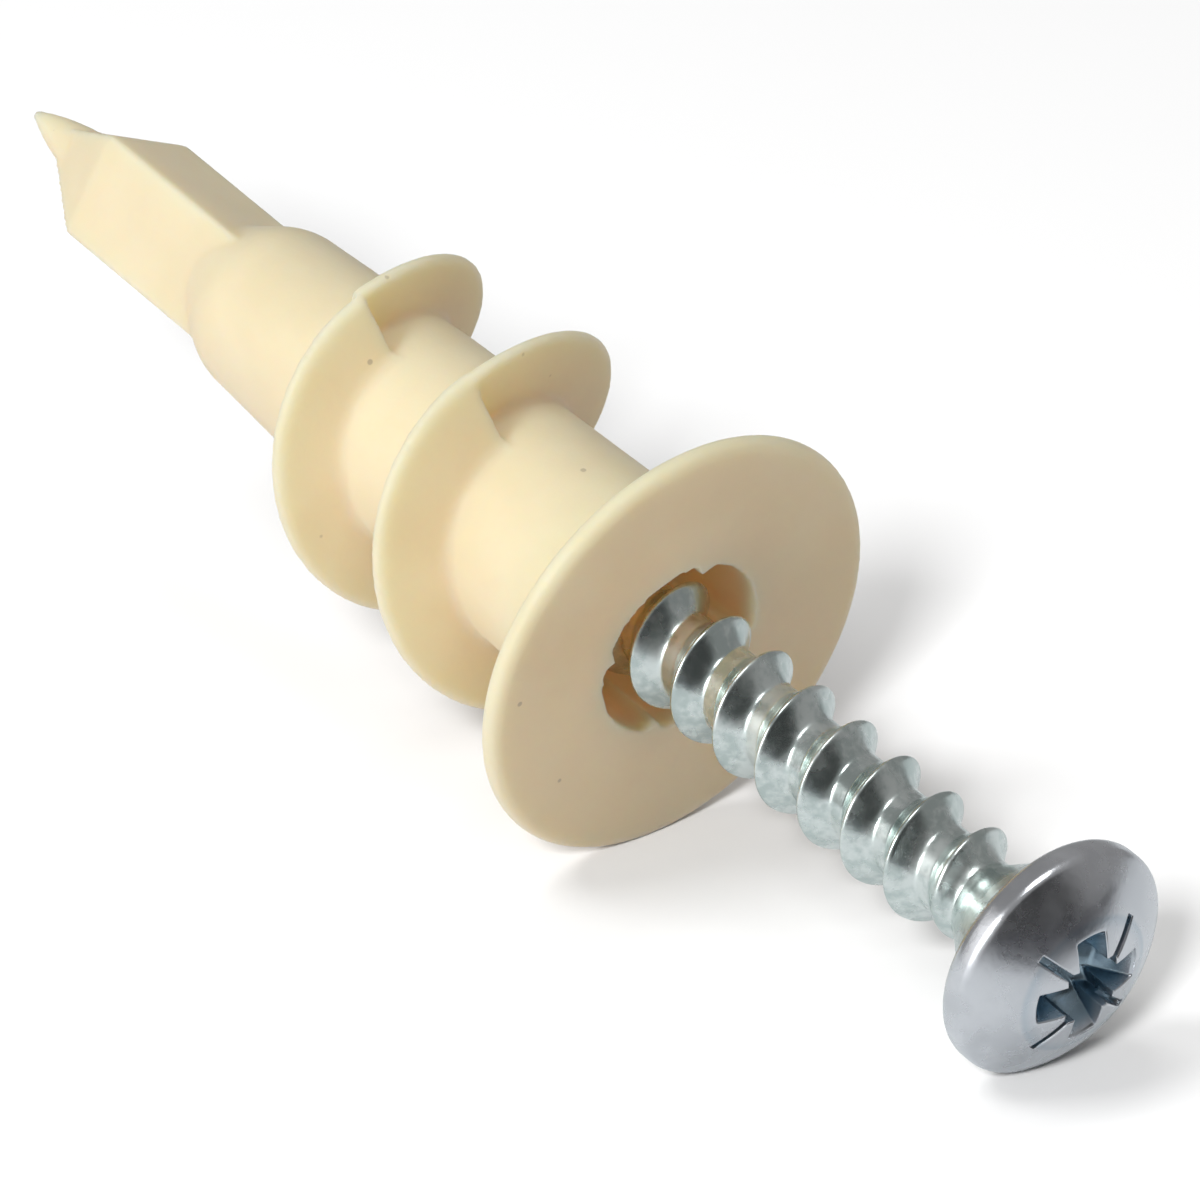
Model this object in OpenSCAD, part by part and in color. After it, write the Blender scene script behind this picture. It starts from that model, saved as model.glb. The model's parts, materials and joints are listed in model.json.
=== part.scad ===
// Self-drilling plasterboard anchor with its screw started in the mouth.
// The anchor is one nylon moulding and the screw is one cold-formed steel piece.
// Both are drawn along their own axis, with the outer face of the flange at z = 0,
// the point of the anchor towards -z and the head of the screw towards +z.
// They are then laid on the ground as they come to rest, with the axis along +X.

/* [Flange] */
// Diameter of the round flange that bears on the board
flange_d = 15; // [13.5:0.5:18]
// Thickness of the flange
flange_t = 0.75; // [0.5:0.05:1]
// Radius of the fillet between the flange and the core
flange_fillet_r = 0.6; // [0.3:0.1:1]

/* [Core] */
// Length of the core from the flange face to the end of its full section
core_l = 20.7; // [19.8:0.1:22]
// Diameter of the core under the flange
core_d = 7.8; // [7.4:0.1:8.4]
// Diameter of the core where its taper changes
core_mid_d = 6.8; // [6.2:0.1:7.2]
// Distance from the flange face to the change of taper
core_mid_at = 13.9; // [11:0.1:15]
// Diameter of the core at its thin end
core_end_d = 5.9; // [5.4:0.1:6.1]
// Length of the rounded ramp from the core down to the drill bar
ramp_l = 3.1; // [2.4:0.1:4]
// Radius of the bend at the top of the ramp
ramp_bend_r = 3; // [1:0.5:3]

/* [Moulded thread] */
// Pitch of the coarse thread
thread_pitch = 5.8; // [5.2:0.1:6.2]
// Distance from the flange face to the middle of the last half turn
thread_first_at = 7.4; // [6.8:0.05:7.8]
// Number of whole turns, each made of two half plates
thread_turns = 2; // [1:1:2]
// Share of the pitch between the two half plates of one turn
thread_half_step = 0.578; // [0.54:0.002:0.6]
// Slope of the half plates, in degrees
thread_slope = 16.2; // [12:0.1:18]
// Thickness of a half plate at the crest
thread_crest_t = 0.45; // [0.35:0.05:0.8]
// Thickness of a half plate on the axis, which sets its taper
thread_axis_t = 2.1; // [1.4:0.1:2.4]
// Crest diameter at the half plate nearest the flange
thread_crest_d = 12.3; // [11.5:0.1:13]
// How fast the crest diameter curves in towards the point, per square millimetre
thread_crest_curve = 0.02; // [0.005:0.001:0.024]

/* [Drill end] */
// Length of the whole anchor from the flange face to its point
anchor_l = 34.3; // [33:0.1:36]
// Side of the square drill bar
bar_side = 3.7; // [3.4:0.05:4]
// Diameter across the rounded corners of the drill bar
bar_corner_d = 5.12; // [4.9:0.02:5.2]
// Distance from the point to the full width of the shoulders
shoulder_at = 5.2; // [4.8:0.1:6]
// Length of the sloping shoulders
shoulder_l = 2.8; // [2.2:0.1:3.2]
// Width of the drill bar where the shoulders start
shoulder_w = 1.3; // [1:0.05:1.6]
// Diameter of the centre point at its base
nib_d = 1.7; // [1.4:0.05:2]
// Length of the conical centre point
nib_l = 2.6; // [2.2:0.1:3]
// Radius of the blunted end of the centre point
nib_end_r = 0.16; // [0.1:0.02:0.3]

/* [Driver recess and bore] */
// Diameter across the arms of the cross recess
recess_d = 6.1; // [5.8:0.1:6.6]
// Width of each arm of the cross recess
recess_arm_w = 3.75; // [3.4:0.05:4]
// Depth of the cross recess
recess_depth = 4.4; // [3.8:0.1:5.4]
// Length of the lead-in from the recess floor to the bore
lead_in_l = 0.6; // [0.3:0.1:0.7]
// Diameter of the bore that the screw cuts into
bore_d = 3; // [2.9:0.1:3.4]
// Depth of the bore from the flange face to its full section
bore_depth = 19.5; // [16:0.5:20]
// Angle between the recess and the parting plane of the mould, in degrees
recess_turn = 13; // [0:1:45]

/* [Screw shank] */
// Crest diameter of the screw thread
screw_d = 4; // [3.6:0.1:4.2]
// Root diameter of the screw thread
screw_root_d = 2.5; // [2.2:0.1:2.6]
// Pitch of the screw thread
screw_pitch = 2.06; // [1.8:0.02:2.4]
// Length of the screw under the head
screw_l = 25; // [24:0.5:25.5]
// Length of the gimlet point
screw_point_l = 3.8; // [3.4:0.1:5]
// Width of one turn of the screw thread at its root
screw_rib_w = 0.8; // [0.6:0.05:1]
// Width of one turn of the screw thread at its crest
screw_crest_w = 0.1; // [0.05:0.01:0.2]
// Gap left between the point's thread and the mouth of the bore that it is started in
screw_seat_gap = 0.02; // [0.01:0.01:0.05]
// Turn of the screw thread from the parting plane of the mould, in degrees
screw_turn = 162; // [0:1:359]

/* [Screw head] */
// Diameter of the screw head
head_d = 8; // [7.4:0.1:9]
// Height of the rounded rim of the head
head_rim_h = 1.2; // [0.9:0.1:1.6]
// Radius that rounds both edges of the rim
head_rim_r = 0.45; // [0.2:0.05:0.45]
// Height of the dome above the rim
head_dome_h = 1.4; // [1:0.1:1.8]
// Diameter of the cone under the head where it meets the head
neck_d = 5; // [4:0.1:6]
// Length of the cone under the head
neck_l = 1.3; // [0.8:0.1:2]
// Distance across the arms of the driver recess
drive_d = 4.4; // [3.8:0.1:4.8]
// Width of each arm of the driver recess
drive_arm_w = 1.1; // [0.9:0.05:1.3]
// Width of the square heart of the driver recess
drive_heart_w = 1.9; // [1.6:0.05:2.2]
// Depth of the driver recess below the crown of the head
drive_depth = 2.1; // [1.8:0.1:2.2]
// Distance across the foot of the arms, where the recess runs to a point
drive_foot_d = 2.4; // [2:0.1:2.8]
// Distance across the four engraved ticks
tick_d = 5; // [4.8:0.1:5.4]
// Width of each engraved tick
tick_w = 0.24; // [0.15:0.01:0.35]
// Depth of each engraved tick below the crown of the head
tick_depth = 0.75; // [0.7:0.05:1]
// Turn of the driver recess from the parting plane of the mould, in degrees
drive_turn = 74; // [0:1:89]

/* [Lying at rest] */
// Turn of the parting plane about the axis as the anchor lies, in degrees
lie_turn = 201; // [0:0.5:360]

/* [Hidden] */
$fn = 64;
overlap = 0.2;

// The screw is started by hand: the thread on its point rests in the mouth of the bore
bore_mouth_z = -recess_depth - lead_in_l;
seated_l = screw_point_l * (bore_d / 2 - screw_seat_gap) / (screw_d / 2);
screw_tip_z = bore_mouth_z - seated_l;
screw_out = screw_tip_z + screw_l;

// The head's dome is tangent to the arc that rounds its rim
rim_seat_r = head_d / 2 - head_rim_r;
rim_seat_z = screw_out + head_rim_h - head_rim_r;
crown_z = screw_out + head_rim_h + head_dome_h;
crown_rise = crown_z - rim_seat_z;
dome_r = (rim_seat_r ^ 2 + crown_rise ^ 2 - head_rim_r ^ 2) / (2 * (crown_rise - head_rim_r));
dome_z = crown_z - dome_r;
dome_foot_a = atan2(rim_seat_z - dome_z, rim_seat_r);
shank_end_z = screw_out - neck_l;

// The axis leans until the flange edge and the rim of the head both touch the ground
edge_r = flange_t / 2;
edge_seat_r = flange_d / 2 - edge_r;
contact_span = rim_seat_z + edge_r;
contact_drop = edge_seat_r - rim_seat_r;
contact_l = norm([contact_span, contact_drop]);
lie_tilt = atan2(contact_drop, contact_span) + asin((edge_r - head_rim_r) / contact_l);
axis_height = edge_r - edge_r * sin(lie_tilt) + edge_seat_r * cos(lie_tilt);

// The origin lies on the ground under the middle of the object's length
reach_rim = rim_seat_z * cos(lie_tilt) + rim_seat_r * sin(lie_tilt) + head_rim_r;
reach_crown = dome_z * cos(lie_tilt) + dome_r;
reach_point = (anchor_l - nib_end_r) * cos(lie_tilt) + nib_end_r;
middle_x = (max(reach_rim, reach_crown) - reach_point) / 2;

// Points on an arc in the plane of an outline, from one angle to another
function arc(centre, r, from, to, steps = 10) =
    [for (i = [0:steps])
        let (a = from + (to - from) * i / steps) centre + r * [cos(a), sin(a)]];

// Core, ramp and flange as one turned outline
module core_and_flange() {
    fillet_at = [core_d / 2 + flange_fillet_r, -flange_t - flange_fillet_r];
    bend_at = [core_end_d / 2 - ramp_bend_r, -core_l];
    ramp_foot = [bar_side / 2 - overlap, -core_l - ramp_l];
    run = ramp_foot - bend_at;
    bend_to = atan2(run[1], run[0]) + acos(ramp_bend_r / norm(run));
    rotate([0, 0, 45]) rotate_extrude()
        polygon(concat(
            [[0, 0]],
            arc([edge_seat_r, -edge_r], edge_r, 90, -90),
            arc(fillet_at, flange_fillet_r, 90, 180),
            [[core_mid_d / 2, -core_mid_at]],
            arc(bend_at, ramp_bend_r, 0, bend_to),
            [ramp_foot, [0, ramp_foot[1]]]
        ));
}

// Crest radius of the moulded thread at a distance from the flange face
function crest_r(at) = (thread_crest_d - thread_crest_curve * (at - thread_first_at) ^ 2) / 2;

// Half a turn of the moulded thread: a flat plate on one side of the parting plane.
// Each half of the mould opens square to that plane, so its plates can only slope in it.
module half_plate(at, side) {
    r = crest_r(at);
    // The plate reaches past its crest and is then trimmed to a cone about the axis
    past = 1.12;
    past_t = thread_axis_t + (thread_crest_t - thread_axis_t) * past;
    rise = r * tan(thread_slope) + thread_axis_t;
    intersection() {
        translate([0, 0, -at]) rotate([0, side * thread_slope, 0])
            rotate([0, 0, -90 * side]) rotate_extrude()
                polygon([
                    [0, -thread_axis_t / 2], [r * past, -past_t / 2],
                    [r * past, past_t / 2], [0, thread_axis_t / 2]
                ]);
        rotate([0, 0, -90 * side]) translate([0, 0, -at - rise])
            cylinder(h = 2 * rise, r1 = crest_r(at + rise), r2 = crest_r(at - rise));
        translate([-flange_d / 2, side > 0 ? 0 : -flange_d / 2, -at - rise])
            cube([flange_d, flange_d / 2, 2 * rise]);
    }
}

// The whole moulded thread, a right-handed one
module moulded_thread() {
    for (turn = [0:thread_turns - 1]) {
        at = thread_first_at + turn * thread_pitch;
        half_plate(at, 1);
        half_plate(at + thread_half_step * thread_pitch, -1);
    }
}

// Side view of the drill bar with its sloping shoulders
module bar_outline() {
    start_z = -anchor_l + shoulder_at - shoulder_l;
    polygon([
        [-shoulder_w / 2, start_z], [shoulder_w / 2, start_z],
        [bar_side / 2, start_z + shoulder_l], [bar_side / 2, -core_l],
        [-bar_side / 2, -core_l], [-bar_side / 2, start_z + shoulder_l]
    ]);
}

// The side view carried straight across the bar
module bar_slab(turn) {
    rotate([90, 0, turn]) linear_extrude(height = bar_corner_d, center = true) bar_outline();
}

// Square drill bar, its shoulders and the conical point that centres them
module drill_end() {
    cone_a = atan2(nib_d / 2 - nib_end_r, nib_l - nib_end_r);
    root_z = -anchor_l + shoulder_at - shoulder_l / 2;
    intersection() {
        bar_slab(45);
        bar_slab(135);
        translate([0, 0, -anchor_l]) cylinder(h = anchor_l, d = bar_corner_d);
    }
    rotate_extrude()
        polygon(concat(
            arc([0, -anchor_l + nib_end_r], nib_end_r, -90, -cone_a),
            [
                [nib_d / 2, -anchor_l + nib_l],
                [shoulder_w / 2, root_z],
                [0, root_z]
            ]
        ));
}

// Wide cross recess that takes the driver which turns the anchor into the board
module driver_recess() {
    rotate([0, 0, recess_turn]) translate([0, 0, -recess_depth]) intersection() {
        cylinder(h = 2 * recess_depth, d = recess_d);
        for (turn = [0, 90])
            rotate([0, 0, turn])
                translate([-recess_d / 2, -recess_arm_w / 2, 0])
                    cube([recess_d, recess_arm_w, 2 * recess_depth]);
    }
}

// Blind bore for the screw, with a lead-in from the recess floor
module screw_bore() {
    point_a = 31;
    rotate_extrude()
        polygon([
            [0, -recess_depth + overlap],
            [recess_arm_w / 2, -recess_depth + overlap],
            [recess_arm_w / 2, -recess_depth],
            [bore_d / 2, bore_mouth_z],
            [bore_d / 2, -bore_depth],
            [0, -bore_depth - bore_d / 2 * tan(point_a)]
        ]);
}

// Lays what is drawn along its own axis on the ground
module lie_down() {
    translate([-middle_x, 0, axis_height])
        rotate([0, 90 + lie_tilt, 0])
            rotate([0, 0, lie_turn])
                children();
}

module anchor() {
    color("#efe6c9") lie_down() difference() {
        union() {
            core_and_flange();
            moulded_thread();
            drill_end();
        }
        driver_recess();
        screw_bore();
    }
}

// Shank of the screw: a stack of rings whose radius follows a right-handed thread.
// Each step round a ring is one step up the stack, so crests run along facet edges.
module threaded_shank() {
    sides = 16;
    step = screw_pitch / sides;
    rings = ceil((shank_end_z - screw_tip_z) / step);
    tip_share = 0.04;
    fade_l = screw_pitch / 2;

    // Share of the full thread at a distance from the crest line
    function rib(off) =
        max(0, min(1, (screw_rib_w / 2 - off) / (screw_rib_w - screw_crest_w) * 2));
    // Distance from the nearest crest line, along the axis
    function crest_off(ring, side) =
        let (lag = (ring - side + sides * rings) % sides) min(lag, sides - lag) * step;
    function ring_z(ring) = min(screw_tip_z + ring * step, shank_end_z);
    // The point tapers root and crest alike, and the thread fades out at the neck
    function taper(z) = max(tip_share, min(1, (z - screw_tip_z) / screw_point_l));
    function fade(z) = min(1, (shank_end_z - z) / fade_l);
    function ring_r(ring, side) =
        let (z = ring_z(ring))
            taper(z) * (screw_root_d + (screw_d - screw_root_d) * fade(z)
                * rib(crest_off(ring, side))) / 2;

    points = [for (ring = [0:rings]) for (side = [0:sides - 1])
        let (a = side * 360 / sides, r = ring_r(ring, side))
            [r * cos(a), r * sin(a), ring_z(ring)]];
    walls = [for (ring = [0:rings - 1]) for (side = [0:sides - 1])
        let (
            a = ring * sides + side,
            b = ring * sides + (side + 1) % sides
        ) each [[a, a + sides, b + sides], [a, b + sides, b]]];
    polyhedron(points, concat(
        walls,
        [[for (side = [0:sides - 1]) side]],
        [[for (side = [sides - 1:-1:0]) rings * sides + side]]
    ));
}

// Domed head with a rounded rim and the cone under it, as one turned outline
module head_blank() {
    rotate_extrude()
        polygon(concat(
            [[0, shank_end_z], [screw_root_d / 2 + overlap / 4, shank_end_z], [neck_d / 2, screw_out]],
            arc([rim_seat_r, screw_out + head_rim_r], head_rim_r, -90, 0),
            arc([rim_seat_r, rim_seat_z], head_rim_r, 0, dome_foot_a),
            arc([0, dome_z], dome_r, dome_foot_a, 90)
        ));
}

// Cross-shaped driver recess with a square heart, narrowing to a point
module drive_recess() {
    foot_z = crown_z - drive_depth;
    foot_rise = 0.6;
    intersection() {
        rotate_extrude()
            polygon([
                [0, foot_z], [drive_foot_d / 2, foot_z + foot_rise],
                [drive_d / 2, crown_z], [drive_d / 2, crown_z + overlap],
                [0, crown_z + overlap]
            ]);
        union() {
            for (turn = [0, 90])
                rotate([0, 0, turn])
                    translate([-drive_d / 2, -drive_arm_w / 2, foot_z])
                        cube([drive_d, drive_arm_w, drive_depth + overlap]);
            translate([-drive_heart_w / 2, -drive_heart_w / 2, foot_z])
                cube([drive_heart_w, drive_heart_w, drive_depth + overlap]);
        }
    }
}

// Thin engraved ticks between the arms of the recess
module drive_ticks() {
    for (turn = [45, 135])
        rotate([0, 0, turn])
            translate([-tick_d / 2, -tick_w / 2, crown_z - tick_depth])
                cube([tick_d, tick_w, tick_depth + overlap]);
}

module screw() {
    color("#aab0b2") lie_down() {
        union() {
            rotate([0, 0, screw_turn]) threaded_shank();
            difference() {
                head_blank();
                rotate([0, 0, drive_turn]) {
                    drive_recess();
                    drive_ticks();
                }
            }
        }
    }
}

anchor();
screw();
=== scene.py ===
import json
import math

import bpy
import numpy as np
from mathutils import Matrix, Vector


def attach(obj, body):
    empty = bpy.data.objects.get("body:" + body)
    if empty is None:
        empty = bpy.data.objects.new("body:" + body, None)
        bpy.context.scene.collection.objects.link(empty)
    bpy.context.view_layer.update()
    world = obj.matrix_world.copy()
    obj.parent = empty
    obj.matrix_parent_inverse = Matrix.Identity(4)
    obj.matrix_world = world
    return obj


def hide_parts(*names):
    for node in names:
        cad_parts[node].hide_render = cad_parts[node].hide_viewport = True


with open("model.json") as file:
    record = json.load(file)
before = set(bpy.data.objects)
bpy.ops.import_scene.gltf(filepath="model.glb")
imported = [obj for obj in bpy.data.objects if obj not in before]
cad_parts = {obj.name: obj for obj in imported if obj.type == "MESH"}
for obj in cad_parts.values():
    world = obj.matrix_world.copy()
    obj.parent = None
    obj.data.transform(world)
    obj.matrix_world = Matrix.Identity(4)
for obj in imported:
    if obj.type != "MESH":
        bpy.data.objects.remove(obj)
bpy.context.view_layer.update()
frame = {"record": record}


# The anchor: one injection moulding in natural ivory nylon, gated in a two-part mould that
# opens square to the parting plane. It is drawn along its own axis in millimetres, with the
# outer face of the flange at z = 0 and the point towards -z, and then laid where it rests.
mounts = {mount["name"]: mount for mount in frame["record"]["mounts"]}
face_centre = np.array(mounts["fixture_face"]["pos_m"])
axis = np.array(mounts["fixture_face"]["axis"])
axis = axis / np.linalg.norm(axis)
PARTING_TURN = math.radians(201)     # parting plane, turned about the axis from straight down
MM = 0.001

down = np.array([0.0, 0.0, -1.0])
down = down - axis * (down @ axis)
down = down / np.linalg.norm(down)
part_x = math.cos(PARTING_TURN) * down + math.sin(PARTING_TURN) * np.cross(axis, down)
part_y = np.cross(axis, part_x)


def laid(points):
    """Millimetre points (x, y, z) along the part's axis, moved to where the part lies:
    face_centre + 0.001 * (x * part_x + y * part_y + z * axis)."""
    return face_centre + MM * (points @ np.stack([part_x, part_y, axis]))


def closed_skin(rows):
    """Closes a grid of rows, each a ring of points, with a pole at the middle of each end ring.
    Point (i, j) is rows[i, j], and quads join ring i to ring i + 1. Rings run anticlockwise
    seen from the end that the rows run towards, so faces point outwards."""
    count, sides = rows.shape[:2]
    poles = np.stack([rows[0].mean(axis=0), rows[-1].mean(axis=0)])
    points = np.concatenate([rows.reshape(-1, 3), poles])
    i, j = np.meshgrid(np.arange(count - 1), np.arange(sides), indexing="ij")
    a, b = i * sides + j, i * sides + (j + 1) % sides
    quads = np.stack([a, b, b + sides, a + sides], axis=-1).reshape(-1, 4)
    ring = np.arange(sides)
    after = (ring + 1) % sides
    first, last = count * sides, count * sides + 1
    start_fan = np.stack([after, ring, np.full(sides, first)], axis=-1)
    top = (count - 1) * sides
    end_fan = np.stack([top + ring, top + after, np.full(sides, last)], axis=-1)
    return points, [quads, start_fan, end_fan]


def mesh_object(name, points, face_groups):
    """A mesh object from an array of points and arrays of quads and triangles."""
    mesh = bpy.data.meshes.new(name)
    loops = np.concatenate([group.ravel() for group in face_groups])
    sizes = np.concatenate([np.full(len(group), group.shape[1]) for group in face_groups])
    mesh.vertices.add(len(points))
    mesh.vertices.foreach_set("co", np.ascontiguousarray(points, dtype=np.float32).ravel())
    mesh.loops.add(len(loops))
    mesh.loops.foreach_set("vertex_index", loops.astype(np.int32))
    mesh.polygons.add(len(sizes))
    starts = np.concatenate([[0], np.cumsum(sizes)[:-1]])
    mesh.polygons.foreach_set("loop_start", starts.astype(np.int32))
    mesh.update(calc_edges=True)
    mesh.validate()
    piece = bpy.data.objects.new(name, mesh)
    bpy.context.scene.collection.objects.link(piece)
    return piece


def arc(centre_r, centre_z, radius, start, end, count=12):
    """Profile points (r, z) on a circle: centre + radius * (cos a, sin a), a in degrees."""
    a = np.radians(np.linspace(start, end, count))
    return np.stack([centre_r + radius * np.cos(a), centre_z + radius * np.sin(a)], axis=-1)


def line(r0, z0, r1, z1, count):
    """Profile points (r, z) evenly spaced on a straight line, without its last point."""
    t = np.linspace(0, 1, count, endpoint=False)[:, None]
    return (1 - t) * np.array([r0, z0]) + t * np.array([r1, z1])


def turned(profile, sides=160):
    """A profile (r, z) carried round the axis: (r cos t, r sin t, z)."""
    t = np.arange(sides) * 2 * np.pi / sides
    r, z = profile[:, 0, None], profile[:, 1, None]
    return np.stack([r * np.cos(t), r * np.sin(t), z + 0 * t], axis=-1)


FLANGE_R, FLANGE_T, FLANGE_FILLET = 7.5, 0.75, 0.6
CORE_R, CORE_MID_R, CORE_MID_Z, CORE_END_R, CORE_END_Z = 3.9, 3.4, -13.9, 2.95, -20.7
RAMP_L, RAMP_BEND_R, RAMP_FOOT_R = 3.1, 3.0, 1.65


def core_radius(z):
    """Radius of the tapering core under the flange: straight between three named radii."""
    return np.interp(z, [CORE_END_Z, CORE_MID_Z, 0], [CORE_END_R, CORE_MID_R, CORE_R])


def core_profile():
    """Outline from the foot of the ramp up to the flange face, as (r, z) points."""
    edge = FLANGE_T / 2
    bend_r = CORE_END_R - RAMP_BEND_R
    run = np.array([RAMP_FOOT_R - bend_r, -RAMP_L])
    bend_to = math.degrees(math.atan2(run[1], run[0]) + math.acos(RAMP_BEND_R / np.hypot(*run)))
    bend = arc(bend_r, CORE_END_Z, RAMP_BEND_R, bend_to, 0)
    foot_z = CORE_END_Z - RAMP_L
    z = np.linspace(CORE_END_Z, -FLANGE_T - FLANGE_FILLET, 60)[1:-1]
    core = np.stack([core_radius(z), z], axis=-1)
    fillet = arc(CORE_R + FLANGE_FILLET, -FLANGE_T - FLANGE_FILLET, FLANGE_FILLET, 180, 90)
    back = line(CORE_R + FLANGE_FILLET, -FLANGE_T, FLANGE_R - edge, -FLANGE_T, 14)[1:]
    rim = arc(FLANGE_R - edge, -edge, edge, -90, 90, 17)
    face = line(FLANGE_R - edge, 0, 0.2, 0, 30)[1:]
    foot = line(0.2, foot_z, RAMP_FOOT_R, foot_z, 4)
    ramp = line(RAMP_FOOT_R, foot_z, *bend[0], 10)
    return np.concatenate([foot, ramp, bend, core, fillet, back, rim, face])


THREAD_FIRST, THREAD_PITCH, THREAD_HALF_STEP = -7.4, 5.8, 0.578
THREAD_SLOPE = math.tan(math.radians(16.2))
CREST_D, CREST_CURVE = 12.3, 0.02
CREST_T, AXIS_T, ROOT_FILLET, SUNK = 0.45, 2.1, 0.3, 0.35
THREAD_TURNS = 2


def crest_radius(z):
    """Radius that the crests shrink by towards the point: (d - k (z - z_first)^2) / 2."""
    return (CREST_D - CREST_CURVE * (z - THREAD_FIRST) ** 2) / 2


def half_plate(middle_z, side, angles=150):
    """Half a turn of the thread, a flat plate that slopes in the parting plane. At angle t and
    radius r its middle lies at z = middle_z - side * slope * r cos t. Its outline runs in
    along one flank, round a full-radius crest and back, and flares at the core by a fillet.
    The crest lies on a cone about the axis, fitted to crest_radius() at both its ends."""
    past = 0.004
    t = np.linspace(-past, np.pi + past, angles) * side
    middle_r = crest_radius(middle_z)
    rise = middle_r * THREAD_SLOPE + AXIS_T
    ends = np.array([middle_z - rise, middle_z + rise])
    crest_z = middle_z - side * THREAD_SLOPE * middle_r * np.cos(t)
    crest_r = np.interp(crest_z, ends, crest_radius(ends))
    root_z = middle_z - side * THREAD_SLOPE * CORE_MID_R * np.cos(t)
    root_r = core_radius(root_z)
    share = np.linspace(0, 1, 26)
    half_crest = CREST_T / 2
    flank_r = root_r[:, None] - SUNK + share * (crest_r - half_crest - root_r + SUNK)[:, None]
    thick = AXIS_T + (CREST_T - AXIS_T) * flank_r / crest_r[:, None]
    inside = np.clip(root_r[:, None] + ROOT_FILLET - flank_r, 0, ROOT_FILLET)
    flare = ROOT_FILLET - np.sqrt(ROOT_FILLET ** 2 - inside ** 2)
    half = thick / 2 + flare
    round_a = np.radians(np.linspace(-90, 90, 13))[1:-1]
    round_r = (crest_r - half_crest)[:, None] + half_crest * np.cos(round_a)
    round_h = half_crest * np.sin(round_a) + 0 * round_r
    r = np.concatenate([flank_r, round_r, flank_r[:, ::-1]], axis=1)
    h = np.concatenate([-half, round_h, half[:, ::-1]], axis=1)
    h = h / math.cos(math.atan(THREAD_SLOPE))
    z = middle_z - side * THREAD_SLOPE * r * np.cos(t)[:, None] + h
    rows = np.stack([r * np.cos(t)[:, None], r * np.sin(t)[:, None], z], axis=-1)
    return rows if side > 0 else rows[:, ::-1]


BAR_HALF, BAR_CORNER_R = 1.85, 2.56
ANCHOR_L, SHOULDER_AT, SHOULDER_L, SHOULDER_HALF = 34.3, 5.2, 2.8, 0.65
NIB_R, NIB_L, NIB_END_R, NIB_SWELL = 0.85, 2.6, 0.16, 0.07


def bar_rows(sides=128):
    """The drill bar as square rings up its length: at angle t the radius is the lesser of
    half / max(|cos|, |sin|) and the corner radius, with half growing along the shoulders."""
    start = -ANCHOR_L + SHOULDER_AT - SHOULDER_L
    z = np.concatenate([
        np.linspace(start, start + SHOULDER_L, 30),
        np.linspace(start + SHOULDER_L, CORE_END_Z, 60)[1:],
    ])
    half = np.interp(z, [start, start + SHOULDER_L], [SHOULDER_HALF, BAR_HALF])[:, None]
    t = np.arange(sides) * 2 * np.pi / sides
    turn = t - np.pi / 4
    square = half / np.maximum(abs(np.cos(turn)), abs(np.sin(turn)))
    r = np.minimum(square, BAR_CORNER_R)
    return np.stack([r * np.cos(t), r * np.sin(t), z[:, None] + 0 * t], axis=-1)


def nib_profile():
    """The centre point: a blunted cone, slightly swollen, running into the shoulders."""
    cone = math.degrees(math.atan2(NIB_R - NIB_END_R, NIB_L - NIB_END_R))
    tip = arc(0, -ANCHOR_L + NIB_END_R, NIB_END_R, -88, -cone, 8)
    base_z = -ANCHOR_L + NIB_L
    share = np.linspace(0, 1, 24)[1:]
    r = tip[-1, 0] + (NIB_R - tip[-1, 0]) * share + NIB_SWELL * np.sin(np.pi * share)
    z = tip[-1, 1] + (base_z - tip[-1, 1]) * share
    tail = line(NIB_R, base_z, SHOULDER_HALF, base_z + SHOULDER_L / 2, 8)[1:]
    end = line(SHOULDER_HALF, base_z + SHOULDER_L / 2, 0.05, base_z + SHOULDER_L / 2, 3)
    return np.concatenate([tip, np.stack([r, z], axis=-1), tail, end])


RECESS_R, RECESS_ARM_HALF, RECESS_DEPTH, RECESS_TURN = 3.05, 1.875, 4.4, math.radians(13)
BORE_R, LEAD_IN_L, BORE_DEPTH, BORE_POINT = 1.5, 0.6, 19.5, math.radians(31)
OVER = 0.5                           # how far the bore's cutter reaches into the recess


def recess_rows(sides=256):
    """The cross recess as rings down its depth. At angle t the radius is the cross's own edge,
    the farther of two crossing slots, and never more than the circle round its arms."""
    t = np.arange(sides) * 2 * np.pi / sides
    c, s = abs(np.cos(t - RECESS_TURN)), abs(np.sin(t - RECESS_TURN))
    slot = np.maximum(RECESS_ARM_HALF / np.maximum(s, 1e-6), RECESS_ARM_HALF / np.maximum(c, 1e-6))
    r = np.minimum(slot, RECESS_R)
    z = np.linspace(-RECESS_DEPTH, 1, 24)[:, None]
    return np.stack([r * np.cos(t) + 0 * z, r * np.sin(t) + 0 * z, z + 0 * t], axis=-1)


def bore_profile():
    """The screw's blind bore with its lead-in, from the drill point up into the recess."""
    mouth = -RECESS_DEPTH - LEAD_IN_L
    point = -BORE_DEPTH - BORE_R * math.tan(BORE_POINT)
    return np.concatenate([
        line(0.05, point, BORE_R, -BORE_DEPTH, 8),
        line(BORE_R, -BORE_DEPTH, BORE_R, mouth, 40),
        line(BORE_R, mouth, RECESS_ARM_HALF, -RECESS_DEPTH, 6),
        line(RECESS_ARM_HALF, -RECESS_DEPTH, RECESS_ARM_HALF, -RECESS_DEPTH + OVER, 3),
        line(RECESS_ARM_HALF, -RECESS_DEPTH + OVER, 0.05, -RECESS_DEPTH + OVER, 4),
    ])


def combine(piece, others, operation):
    """Joins the others to the piece, or cuts them from it, as solids."""
    for other in others:
        step = piece.modifiers.new("solid", "BOOLEAN")
        step.operation = operation
        step.solver = "MANIFOLD"
        step.object = other
        bpy.context.view_layer.objects.active = piece
        bpy.ops.object.modifier_apply(modifier=step.name)
        bpy.data.objects.remove(other, do_unlink=True)


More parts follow.
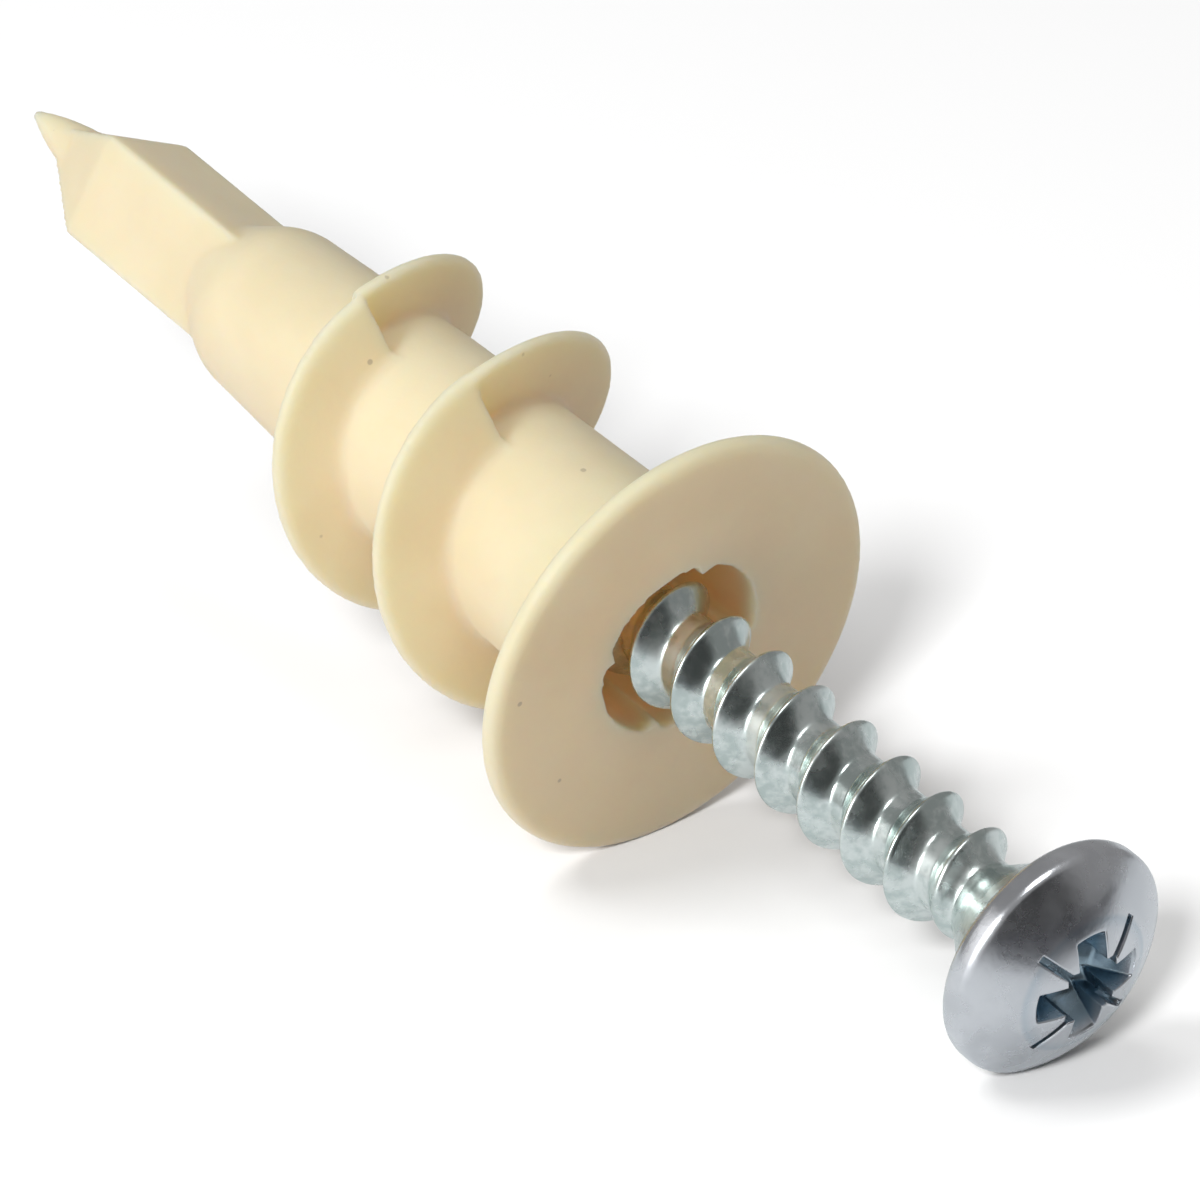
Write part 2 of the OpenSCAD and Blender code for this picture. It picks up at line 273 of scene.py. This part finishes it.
anchor = mesh_object("anchor_moulding", *closed_skin(turned(core_profile())))
half_plates = []
for turn in range(THREAD_TURNS):
    z = THREAD_FIRST - turn * THREAD_PITCH
    half_plates.append(half_plate(z, 1))
    half_plates.append(half_plate(z - THREAD_HALF_STEP * THREAD_PITCH, -1))
added = [mesh_object("half_plate", *closed_skin(rows)) for rows in half_plates]
added.append(mesh_object("drill_bar", *closed_skin(bar_rows())))
added.append(mesh_object("centre_point", *closed_skin(turned(nib_profile(), 96))))
combine(anchor, added, "UNION")
cutters = [mesh_object("recess", *closed_skin(recess_rows())),
           mesh_object("bore", *closed_skin(turned(bore_profile(), 96)))]
combine(anchor, cutters, "DIFFERENCE")

SKIN_STEP, SKIN_SMOOTHING = 0.14, 2
skin = anchor.modifiers.new("moulded_edges", "REMESH")
skin.mode = "VOXEL"
skin.voxel_size = SKIN_STEP
skin.use_smooth_shade = True
relax = anchor.modifiers.new("relaxed", "SMOOTH")
relax.factor, relax.iterations = 0.5, SKIN_SMOOTHING
bpy.context.view_layer.objects.active = anchor
for name in [step.name for step in anchor.modifiers]:
    bpy.ops.object.modifier_apply(modifier=name)


def lay_down(piece):
    """Moves a piece drawn along the axis in millimetres to where it lies."""
    points = np.empty(len(piece.data.vertices) * 3, dtype=np.float32)
    piece.data.vertices.foreach_get("co", points)
    moved = laid(points.reshape(-1, 3).astype(float)).astype(np.float32)
    piece.data.vertices.foreach_set("co", moved.ravel())
    piece.data.update()


class Value:
    """An output of a node, with arithmetic that adds Math nodes."""

    def __init__(self, shader, socket):
        self.shader, self.socket = shader, socket

    def math(self, operation, *others, **settings):
        inputs = dict(enumerate((self,) + others))
        return self.shader.node("ShaderNodeMath", dict(operation=operation, **settings), inputs)

    def __add__(self, other):
        return self.math("ADD", other)

    def __sub__(self, other):
        return self.math("SUBTRACT", other)

    def __rsub__(self, other):
        return self.math("MULTIPLY", -1).math("ADD", other)

    def __mul__(self, other):
        return self.math("MULTIPLY", other)

    __radd__, __rmul__ = __add__, __mul__

    def ramp(self, low, high, out_low=0.0, out_high=1.0):
        """Maps low to high onto out_low to out_high with a smooth step, held at both ends."""
        return self.shader.node(
            "ShaderNodeMapRange", {"interpolation_type": "SMOOTHSTEP"},
            {"Value": self, "From Min": low, "From Max": high, "To Min": out_low, "To Max": out_high})


class Shader:
    """The nodes of a new material or world. node() adds one: type, settings, then inputs."""

    def __init__(self, owner):
        owner.use_nodes = True
        self.owner, self.tree = owner, owner.node_tree
        self.tree.nodes.clear()

    def node(self, kind, settings=None, inputs=None, output=0):
        made = self.tree.nodes.new(kind)
        for name, value in (settings or {}).items():
            setattr(made, name, value)
        for name, value in (inputs or {}).items():
            if isinstance(value, Value):
                self.tree.links.new(value.socket, made.inputs[name])
            else:
                made.inputs[name].default_value = value
        return Value(self, made.outputs[output])

    def place(self):
        """Object coordinates, in metres."""
        return self.node("ShaderNodeTexCoord", output="Object")

    def along_axis(self, place):
        """Distance in metres out along the part's axis from the flange's face, and off it."""
        arm = self.node("ShaderNodeVectorMath", {"operation": "SUBTRACT"},
                        {0: place, 1: tuple(face_centre)})
        along = self.node("ShaderNodeVectorMath", {"operation": "DOT_PRODUCT"},
                          {0: arm, 1: tuple(axis)}, "Value")
        cross = self.node("ShaderNodeVectorMath", {"operation": "CROSS_PRODUCT"},
                          {0: arm, 1: tuple(axis)})
        off = self.node("ShaderNodeVectorMath", {"operation": "LENGTH"}, {0: cross}, "Value")
        return along, off

    def noise(self, place, scale, detail=3.0, rough=0.5):
        """Noise about 0.5, with features about 1 / scale metres across."""
        return self.node("ShaderNodeTexNoise", None,
                         {"Vector": place, "Scale": scale, "Detail": detail, "Roughness": rough})

    def mix(self, share, first, second):
        """Colour mixed from first, at share 0, to second, at share 1."""
        return self.node("ShaderNodeMix", {"data_type": "RGBA"}, {0: share, 6: first, 7: second}, 2)

    def finish(self, **inputs):
        """Ends the material with a Principled BSDF that takes these inputs."""
        named = {name.replace("_", " "): value for name, value in inputs.items()}
        return self.end(self.node("ShaderNodeBsdfPrincipled", None, named))

    def end(self, surface, kind="ShaderNodeOutputMaterial"):
        """Joins the surface to the output node and returns the finished material or world."""
        last = self.tree.nodes.new(kind)
        self.tree.links.new(surface.socket, last.inputs["Surface"])
        return self.owner


lay_down(anchor)
IVORY_DEEP, IVORY_PALE, SPECK = (0.86, 0.75, 0.51, 1), (0.89, 0.785, 0.55, 1), (0.30, 0.26, 0.17, 1)
# Painted light in the recess: a warm painted shade and a painted glow for its walls.
PAINTED_RECESS_WARMTH, PAINTED_RECESS_GLOW = (0.90, 0.69, 0.41, 1), (1.0, 0.65, 0.28, 1)
BLACK = (0, 0, 0, 1)
nylon = Shader(bpy.data.materials.new("moulded_nylon"))
place = nylon.place()
mottle = nylon.noise(place, 260)
pores = nylon.noise(place, 2600, 2)
cell = {"Vector": place, "Scale": 500.0}
near_speck = nylon.node("ShaderNodeTexVoronoi", None, cell).ramp(0.06, 0.035)
rare = nylon.node("ShaderNodeTexVoronoi", None, cell, "Color").math("GREATER_THAN", 0.62)
specks = near_speck * rare
tint = nylon.mix(mottle.ramp(0.35, 0.65), IVORY_DEEP, IVORY_PALE)
tint = nylon.mix(specks * 0.45, tint, SPECK)
# Walls of the recess: light seeps through them, so they look warmer than the outside. This is
# painted: a warm painted shade in their colour and a faint painted glow from their emission.
along, off = nylon.along_axis(place)
below_face = along.ramp(-0.1 * MM, -1.2 * MM)
above_floor = along.ramp(-(RECESS_DEPTH + 0.2) * MM, -(RECESS_DEPTH - 0.4) * MM)
painted_recess_light = below_face * above_floor * off.ramp((RECESS_R + 0.55) * MM, (RECESS_R + 0.25) * MM)
tint = nylon.mix(painted_recess_light, tint, PAINTED_RECESS_WARMTH)
grain = nylon.node("ShaderNodeBump", None,
                   {"Strength": 0.25, "Distance": 0.04 * MM, "Height": pores * 0.6 + mottle})
anchor.data.materials.clear()
# The faint emission on the walls of the recess is a painted glow.
anchor.data.materials.append(nylon.finish(
    Base_Color=tint, Roughness=mottle.ramp(0.3, 0.7, 0.46, 0.56), Normal=grain,
    Subsurface_Weight=1.0, Subsurface_Radius=(1.0, 0.8, 0.58), Subsurface_Scale=1.2 * MM,
    Specular_IOR_Level=0.35, IOR=1.53,
    Emission_Color=nylon.mix(painted_recess_light, BLACK, PAINTED_RECESS_GLOW), Emission_Strength=0.05))
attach(anchor, "root")
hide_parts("anchor")


# The screw: one cold-formed steel piece, bright zinc plated, started in the mouth of the
# bore. Its rolled thread, neck, raised head and cross recess are drawn along the same axis.
TIP_Z, SHANK_END_Z, SCREW_PITCH, SCREW_TURN = -7.812, 14.9, 2.06, math.radians(162)
SCREW_R, ROOT_R, POINT_L, RIB_W, CREST_W, HOLLOW = 2.0, 1.32, 3.8, 1.5, 0.12, 1.3
FADE_L, NECK_OVERLAP, POINT_SHARE, CREST_ROUND = 1.2, 0.5, 0.04, 0.06
SEAT_Z, NECK_R, NECK_BEND_R, NECK_SLOPE = 17.188, 3.1, 1.0, 36.2
HEAD_R, RIM_H, RIM_ROUND, DOME_H = 4.0, 1.2, 0.45, 1.4
DRIVE_TURN, ARM_HALF, HEART_HALF, DRIVE_R = math.radians(74), 0.55, 0.95, 2.2
DRIVE_DEPTH, DRIVE_FOOT_R, DRIVE_FOOT_RISE, LIP = 2.1, 1.2, 0.6, 0.06
TICK_HALF, TICK_R, TICK_DEPTH = 0.12, 2.5, 0.75
CROWN_Z = SEAT_Z + RIM_H + DOME_H


def rib_share(off):
    """Share of the full thread height at a distance off along the axis from the crest line:
    hollow flanks, the share being a power of the distance, and a crest rounded by averaging
    over a short length."""
    blur = np.linspace(-CREST_ROUND, CREST_ROUND, 7)[:, None, None]
    slope = (RIB_W / 2 - abs(off + blur)) / ((RIB_W - CREST_W) / 2)
    return (np.clip(slope, 0, 1) ** HOLLOW).mean(axis=0)


def thread_rows(sides=56):
    """Rings up the shank, one step of pitch / sides apart. Point (i, j) lies at angle
    2 pi j / sides and its distance from the crest line is ((i - j) mod sides) steps."""
    step = SCREW_PITCH / sides
    count = int((SHANK_END_Z + NECK_OVERLAP - TIP_Z) / step)
    i, j = np.meshgrid(np.arange(count), np.arange(sides), indexing="ij")
    lag = (i - j) % sides
    off = np.minimum(lag, sides - lag) * step
    z = TIP_Z + i * step
    fade = np.clip((SHANK_END_Z - z) / FADE_L, 0, 1)
    taper = np.clip((z - TIP_Z) / POINT_L, POINT_SHARE, 1)
    r = taper * (ROOT_R + (SCREW_R - ROOT_R) * fade * rib_share(off))
    t = 2 * np.pi * j / sides + SCREW_TURN
    return np.stack([r * np.cos(t), r * np.sin(t), z], axis=-1)


def slanted_skin(rows):
    """As closed_skin, but each step round a ring climbs one ring, so that edges follow the
    crest of the thread. A row of triangles fills in at each end."""
    points, (quads, start_fan, end_fan) = closed_skin(rows)
    count, sides = rows.shape[:2]
    i, j = np.meshgrid(np.arange(count - 2), np.arange(sides), indexing="ij")
    a = i * sides + j
    b = (i + 1) * sides + (j + 1) % sides
    slanted = np.stack([a, b, b + sides, a + sides], axis=-1).reshape(-1, 4)
    ring = np.arange(sides)
    after = (ring + 1) % sides
    top = (count - 1) * sides
    low = np.stack([ring, after, after + sides], axis=-1)
    high = np.stack([top - sides + ring, top + after, top + ring], axis=-1)
    return points, [slanted, low, high, start_fan, end_fan]


def head_profile():
    """Outline of the neck and the rim, from the shank up to the foot of the dome, and the
    dome's radius and centre. The dome is tangent to the arc that rounds the rim."""
    seat_r, seat_z = HEAD_R - RIM_ROUND, SEAT_Z + RIM_H - RIM_ROUND
    crown = CROWN_Z - seat_z
    dome_r = (seat_r ** 2 + crown ** 2 - RIM_ROUND ** 2) / (2 * (crown - RIM_ROUND))
    dome_z = CROWN_Z - dome_r
    foot = math.degrees(math.atan2(seat_z - dome_z, seat_r))
    slope = math.radians(NECK_SLOPE)
    bend_end_r = ROOT_R + NECK_BEND_R * (1 - math.cos(slope))
    bend_end_z = SEAT_Z - (NECK_R - bend_end_r) / math.tan(slope)
    neck = arc(ROOT_R + NECK_BEND_R, bend_end_z - NECK_BEND_R * math.sin(slope), NECK_BEND_R,
               180, 180 - NECK_SLOPE)
    cone = line(*neck[-1], NECK_R, SEAT_Z, 14)[1:]
    seat = line(NECK_R, SEAT_Z, seat_r, SEAT_Z, 4)
    rim = arc(seat_r, SEAT_Z + RIM_ROUND, RIM_ROUND, -90, 0)
    shoulder = arc(seat_r, seat_z, RIM_ROUND, 0, foot)
    return np.concatenate([neck, cone, seat, rim, shoulder]), dome_r, dome_z


def drive_edge(t, grow, ends_r):
    """Radius of the recess's edge at angle t, with all its sides moved out by grow: the
    farthest of two crossing slots and a square, cut off by a circle round the arms."""
    c, s = abs(np.cos(t)), abs(np.sin(t))
    arms = (ARM_HALF + grow) / np.maximum(np.minimum(c, s), 1e-6)
    heart = (HEART_HALF + grow) / np.maximum(c, s)
    return np.minimum(np.maximum(arms, heart), ends_r + grow)


def tick_edge(t, grow):
    """Radius of the ends and sides of the ticks at angle t, moved out by grow."""
    c, s = abs(np.cos(t - np.pi / 4)), abs(np.sin(t - np.pi / 4))
    return np.minimum((TICK_HALF + grow) / np.maximum(np.minimum(c, s), 1e-6), TICK_R + grow)


def head_rows():
    """The head as rings, up the neck and the rim, over the dome to the edge of the recess,
    round its lip and down its walls. Below the surface the recess is the cross, held inside
    a cone that narrows to a point; above their flat floor the ticks reach out past it."""
    side, dome_r, dome_z = head_profile()
    even = np.arange(0, 2 * np.pi, np.pi / 180)
    near_tick = np.radians(np.linspace(-7, 7, 43))
    ticks = (np.arange(4) * 2 + 1)[:, None] * np.pi / 4
    t = np.unique(np.round(np.concatenate([even, (ticks + near_tick).ravel()]), 5))
    cone_z = CROWN_Z - DRIVE_DEPTH + np.array([0, DRIVE_FOOT_RISE, DRIVE_DEPTH])
    cone_r = [0, DRIVE_FOOT_R, DRIVE_R]

    def dome(r):
        return dome_z + np.sqrt(dome_r ** 2 - r ** 2)

    meet = np.linspace(0, DRIVE_R, 400)
    ends_r = meet[np.argmin(abs(np.interp(dome(meet), cone_z, cone_r) - meet))]
    lip = np.radians(np.linspace(0, 90, 6))
    lip_out, lip_drop = LIP * (1 - np.sin(lip))[:, None], LIP * (1 - np.cos(lip))[:, None]
    edge = np.maximum(drive_edge(t, lip_out, ends_r), tick_edge(t, lip_out))
    share = np.linspace(0, 1, 22)[1:-1, None]
    dome_rows = side[-1, 0] + (edge[0] - side[-1, 0]) * share
    tick_floor = CROWN_Z - TICK_DEPTH
    top = dome(edge[-1]) - LIP
    down_share = np.linspace(0, 1, 11)[1:, None]
    wall_z = top + (tick_floor - top) * down_share
    cross = drive_edge(t, 0, ends_r)
    wall_r = np.maximum(np.minimum(cross, np.interp(wall_z, cone_z, cone_r)), tick_edge(t, 0))
    low_z = np.linspace(tick_floor, cone_z[0] + 0.01, 20)[:, None] + 0 * t
    low_r = np.minimum(cross, np.interp(low_z, cone_z, cone_r))
    r = np.concatenate([side[:, :1] + 0 * t, dome_rows, edge, wall_r, low_r])
    z = np.concatenate([side[:, 1:] + 0 * t, dome(dome_rows), dome(edge) - lip_drop, wall_z, low_z])
    turned_t = t + DRIVE_TURN
    return np.stack([r * np.cos(turned_t), r * np.sin(turned_t), z], axis=-1)


screw = mesh_object("screw_piece", *slanted_skin(thread_rows()))
combine(screw, [mesh_object("head", *closed_skin(head_rows()))], "UNION")
screw.data.shade_smooth()
lay_down(screw)

SHANK_DULL, SHANK_BRIGHT = (0.55, 0.62, 0.60, 1), (0.77, 0.82, 0.80, 1)
HEAD_DULL, HEAD_BRIGHT = (0.63, 0.64, 0.67, 1), (0.72, 0.73, 0.76, 1)
# Painted shade: the walls of the cross recess are coloured darker and bluer than the head.
DRIVE_PAINTED_SHADE = (0.34, 0.45, 0.53, 1)
zinc = Shader(bpy.data.materials.new("bright_zinc"))
place = zinc.place()
cloud = zinc.noise(place, 700, 4)
pits = zinc.noise(place, 3500, 3)
along, off = zinc.along_axis(place)
shank = zinc.mix((cloud * 0.6 + pits * 0.4).ramp(0.4, 0.6), SHANK_DULL, SHANK_BRIGHT)
head = zinc.mix(cloud.ramp(0.35, 0.65), HEAD_DULL, HEAD_BRIGHT)
zinc_colour = zinc.mix(along.ramp((SEAT_Z - 0.8) * MM, (SEAT_Z + 0.6) * MM), shank, head)
# Mask of the cross recess, which takes the painted shade.
under_dome = along.ramp((CROWN_Z - 0.3) * MM, (CROWN_Z - 0.8) * MM)
above_foot = along.ramp((CROWN_Z - 2.8) * MM, (CROWN_Z - 2.4) * MM)
drive_shade_mask = under_dome * above_foot * off.ramp(TICK_R * MM, (TICK_R - 0.2) * MM)
zinc_colour = zinc.mix(drive_shade_mask, zinc_colour, DRIVE_PAINTED_SHADE)
dents = zinc.node("ShaderNodeBump", None,
                  {"Strength": 0.3, "Distance": 0.03 * MM, "Height": cloud + pits * 0.5})
screw.data.materials.clear()
screw.data.materials.append(zinc.finish(
    Base_Color=zinc_colour, Metallic=1.0, Roughness=cloud.ramp(0.3, 0.7, 0.2, 0.34), Normal=dents))
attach(screw, "root")
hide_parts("screw")


# The stage: a plain pale floor of matt paper, which carries the soft shadow. It is pale to the
# camera and grey to rays that light the object or mirror in it. Mirror rays also meet a nearly
# black patch of it ahead of the screw's head.
FLOOR_HALF = 1.5
SEEN_PALE, LIT_GREY = (0.7, 0.7, 0.7, 1), (0.45, 0.41, 0.425, 1)
MIRRORED_GREY, MIRRORED_DARK = (0.47, 0.49, 0.50, 1), (0.045, 0.045, 0.05, 1)
DARK_FROM, DARK_TO, DARK_BEND = 0.032, 0.042, 0.5
mesh = bpy.data.meshes.new("floor")
corners = [(-1, -1), (1, -1), (1, 1), (-1, 1)]
mesh.from_pydata([(x * FLOOR_HALF, y * FLOOR_HALF, 0) for x, y in corners], [], [(0, 1, 2, 3)])
floor = bpy.data.objects.new("floor", mesh)
bpy.context.scene.collection.objects.link(floor)
paper = Shader(bpy.data.materials.new("white_paper"))
seen_by_camera = paper.node("ShaderNodeLightPath", output="Is Camera Ray")
mirrored = paper.node("ShaderNodeLightPath", output="Is Glossy Ray")
x = paper.node("ShaderNodeSeparateXYZ", None, {0: paper.place()}, "X")
y = paper.node("ShaderNodeSeparateXYZ", None, {0: paper.place()}, "Y")
ahead = (x - y.math("ABSOLUTE") * DARK_BEND).ramp(DARK_FROM, DARK_TO)
sheet = paper.mix(seen_by_camera, LIT_GREY, SEEN_PALE)
sheet = paper.mix(mirrored, sheet, MIRRORED_GREY)
sheet = paper.mix(mirrored * ahead, sheet, MIRRORED_DARK)
floor.data.materials.append(paper.end(paper.node("ShaderNodeBsdfDiffuse", None, {"Color": sheet})))


# Camera and light. The picture was taken from above the head's side with a long lens. Lamp
# directions and the aim are given as the camera sees them: right, up and back towards it.
CAMERA_AZ, CAMERA_EL, CAMERA_FAR = math.radians(50.1), math.radians(27.9), 0.3
AIM_RIGHT, AIM_UP = -2.53, 1.52
FOCAL_LENGTH, SENSOR_W = 288, 36
right = np.array([math.cos(CAMERA_AZ), math.sin(CAMERA_AZ), 0])
back = np.array([math.sin(CAMERA_AZ) * math.cos(CAMERA_EL),
                 -math.cos(CAMERA_AZ) * math.cos(CAMERA_EL), math.sin(CAMERA_EL)])
up = np.cross(back, right)


def pointed(name, data, place, target):
    """Adds a camera or light at place, looking along -Z at target."""
    thing = bpy.data.objects.new(name, data)
    bpy.context.scene.collection.objects.link(thing)
    thing.location = Vector(place)
    thing.rotation_mode = "QUATERNION"
    thing.rotation_quaternion = Vector(target - place).to_track_quat("-Z", "Y")
    return thing


lens = bpy.data.cameras.new("camera")
lens.lens, lens.sensor_width, lens.clip_start, lens.clip_end = FOCAL_LENGTH, SENSOR_W, 0.01, 10
aim = face_centre + MM * (AIM_RIGHT * right + AIM_UP * up)
bpy.context.scene.camera = pointed("camera", lens, face_centre + CAMERA_FAR * back, aim)

LAMP_FAR = 0.5


def soft_light(name, toward, size, power, pieces, colour=(1, 1, 1)):
    """A square area light, whose own rays reach only these pieces. Every piece still casts
    its shadow in them. toward is its direction as (right, up, back)."""
    data = bpy.data.lights.new(name, "AREA")
    data.shape, data.size, data.energy, data.color = "SQUARE", size, power, colour
    direction = toward[0] * right + toward[1] * up + toward[2] * back
    place = face_centre + LAMP_FAR * direction / np.linalg.norm(direction)
    light = pointed(name, data, place, face_centre)
    group = bpy.data.collections.new(name)
    for piece in pieces:
        group.objects.link(piece)
    light.light_linking.receiver_collection = group
    return light


BOTH = [anchor, screw]
soft_light("key", (-0.6, 0.15, 0.79), 0.15, 1.15, BOTH, (0.98, 1, 1))
soft_light("window", (-0.75, 0.0, 0.65), 0.28, 0.35, BOTH, (0.97, 1, 1))
soft_light("overhead", (0.1, 0.75, 0.65), 0.2, 0.65, BOTH, (0.98, 1, 1))
gleam = soft_light("gleam", (-0.8, 0.1, 0.6), 0.4, 0.4, [screw])
gleam.visible_diffuse = False
fill = soft_light("fill", (0.8, -0.2, 0.55), 0.3, 0.15, BOTH, (1, 0.76, 0.84))
fill.visible_glossy = False
soft_light("floor_front", (-0.19, 0.12, 0.98), 0.09, 3.1, [floor])
soft_light("floor_top", (-0.48, 0.63, 0.48), 0.2, 1.3, [floor])
soft_light("floor_far", (-0.1, 0.95, 0.15), 0.2, 0.55, [floor])

# The room: soft light from all round, but dim in the direction that the head's dome mirrors.
DIM_SIDE, ROOM_LEVEL, DIM_LEVEL = (0.98, -0.09, 0.17), 0.3, 0.06
room = Shader(bpy.data.worlds.new("studio"))
view = room.node("ShaderNodeTexCoord", output="Generated")
facing = room.node("ShaderNodeVectorMath", {"operation": "DOT_PRODUCT"},
                   {0: view, 1: DIM_SIDE}, "Value")
level = facing.ramp(0.76, 0.88, ROOM_LEVEL, DIM_LEVEL)
glow = room.node("ShaderNodeBackground", None, {"Color": (1, 1, 1, 1), "Strength": level})
bpy.context.scene.world = room.end(glow, "ShaderNodeOutputWorld")
bpy.context.scene.view_settings.view_transform = "Standard"
